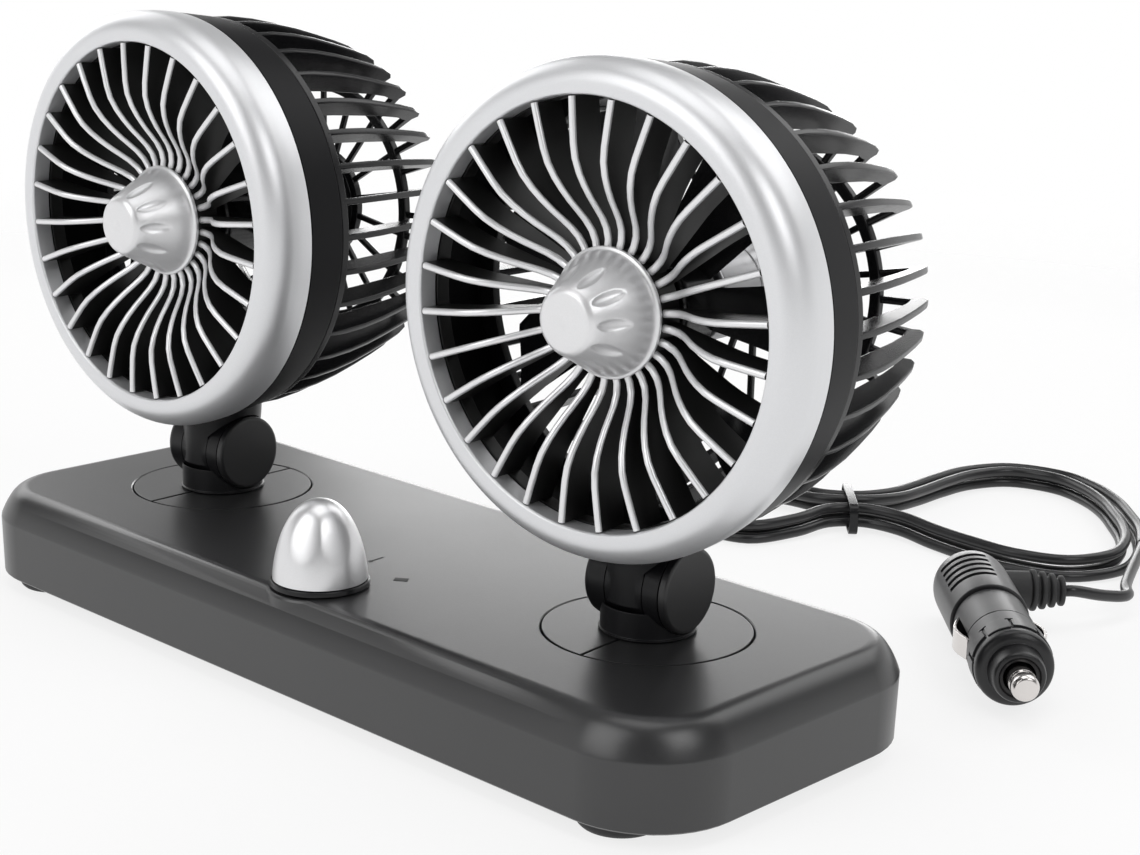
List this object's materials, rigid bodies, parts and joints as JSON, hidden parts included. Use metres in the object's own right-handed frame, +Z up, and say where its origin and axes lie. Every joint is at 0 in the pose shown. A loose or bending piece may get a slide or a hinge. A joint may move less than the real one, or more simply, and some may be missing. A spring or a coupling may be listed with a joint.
{
  "type": "dual head car fan",
  "caption": "Dual head car fan: two round grilled fan heads that swivel and tilt on a low flat base with a speed knob, and a bundled cord with a lighter-socket plug.",
  "frame": {"origin": "on the table, under the middle of the base", "axes": "+Z up, +X along the base's length, the fans face -Y"},
  "size_m": [0.2972, 0.3405, 0.1718],
  "materials": {
    "deck": "fine texture",
    "black": "fine texture",
    "satin": "satin",
    "knuckle": "satin",
    "gloss": "gloss",
    "bezel_silver": "satin",
    "hub_silver": "satin",
    "knob_silver": "satin",
    "steel": "satin",
    "nickel": "polished",
    "rubber": "matte",
    "cord": "satin"
  },
  "bodies": {
    "base": {"base_cover": "deck", "base_plate": "black", "foot_front_left": "rubber", "foot_front_right": "rubber", "foot_rear_left": "rubber", "foot_rear_right": "rubber", "switch_body": "black", "cord_gland": "rubber", "cord_lead": "cord", "cord_hank": "cord", "cord_tail": "cord", "hank_tie": "black", "plug_body": "satin", "plug_barrel": "satin", "plug_nose": "black", "plug_boot": "rubber"},
    "knob": {"speed_knob": "knob_silver", "knob_skirt": "black", "switch_shaft": "steel"},
    "plug_tip": {"plug_tip": "nickel"},
    "contact_near": {"plug_contact_near": "nickel"},
    "contact_far": {"plug_contact_far": "nickel"},
    "left_swivel": {"left_turntable_outer": "deck", "left_turntable_inner": "deck", "left_yoke": "knuckle", "left_swivel_retainer": "steel", "left_pivot_pin": "steel", "left_pivot_cap": "knuckle"},
    "left_head": {"left_neck": "knuckle", "left_bezel": "bezel_silver", "left_housing": "satin", "left_front_grille": "satin", "left_hub_cap": "hub_silver", "left_rear_cage": "black", "left_motor": "steel"},
    "left_fan": {"left_impeller": "gloss", "left_motor_shaft": "steel"},
    "right_swivel": {"right_turntable_outer": "deck", "right_turntable_inner": "deck", "right_yoke": "knuckle", "right_swivel_retainer": "steel", "right_pivot_pin": "steel", "right_pivot_cap": "knuckle"},
    "right_head": {"right_neck": "knuckle", "right_bezel": "bezel_silver", "right_housing": "satin", "right_front_grille": "satin", "right_hub_cap": "hub_silver", "right_rear_cage": "black", "right_motor": "steel"},
    "right_fan": {"right_impeller": "gloss", "right_motor_shaft": "steel"}
  },
  "joints": [
    {"name": "knob_turn", "type": "hinge", "parent": "base", "child": "knob", "pos_m": [0.006, -0.0365, 0.0298], "axis": [0, 0, 1], "range_deg": [-84, 0]},
    {"name": "left_swivel", "type": "hinge", "parent": "base", "child": "left_swivel", "pos_m": [-0.0867, 0.0021, 0.0298], "axis": [0, 0, 1], "range_deg": [-172, 168]},
    {"name": "left_tilt", "type": "hinge", "parent": "left_swivel", "child": "left_head", "pos_m": [-0.0867, 0.0021, 0.0422], "axis": [0.9994, 0.0349, 0], "range_deg": [-35, 35]},
    {"name": "left_spin", "type": "hinge", "parent": "left_head", "child": "left_fan", "pos_m": [-0.0867, 0.0021, 0.1126], "axis": [-0.0349, 0.9994, 0], "continuous": true},
    {"name": "right_swivel", "type": "hinge", "parent": "base", "child": "right_swivel", "pos_m": [0.0867, 0.0021, 0.0298], "axis": [0, 0, 1], "range_deg": [-175, 165]},
    {"name": "right_tilt", "type": "hinge", "parent": "right_swivel", "child": "right_head", "pos_m": [0.0867, 0.0021, 0.0422], "axis": [0.9962, 0.0872, 0], "range_deg": [-35, 35]},
    {"name": "right_spin", "type": "hinge", "parent": "right_head", "child": "right_fan", "pos_m": [0.0867, 0.0021, 0.1126], "axis": [-0.0872, 0.9962, 0], "continuous": true},
    {"name": "plug_tip_press", "type": "slide", "parent": "base", "child": "plug_tip", "axis": [-0.6871, 0.7266, 0], "range_m": [0, 0.003], "stiffness_N_per_m": 400},
    {"name": "contact_near_press", "type": "slide", "parent": "base", "child": "contact_near", "axis": [0.7266, 0.6871, 0], "range_m": [0, 0.0015], "stiffness_N_per_m": 400},
    {"name": "contact_far_press", "type": "slide", "parent": "base", "child": "contact_far", "axis": [-0.7266, -0.6871, 0], "range_m": [0, 0.0015], "stiffness_N_per_m": 400}
  ]
}
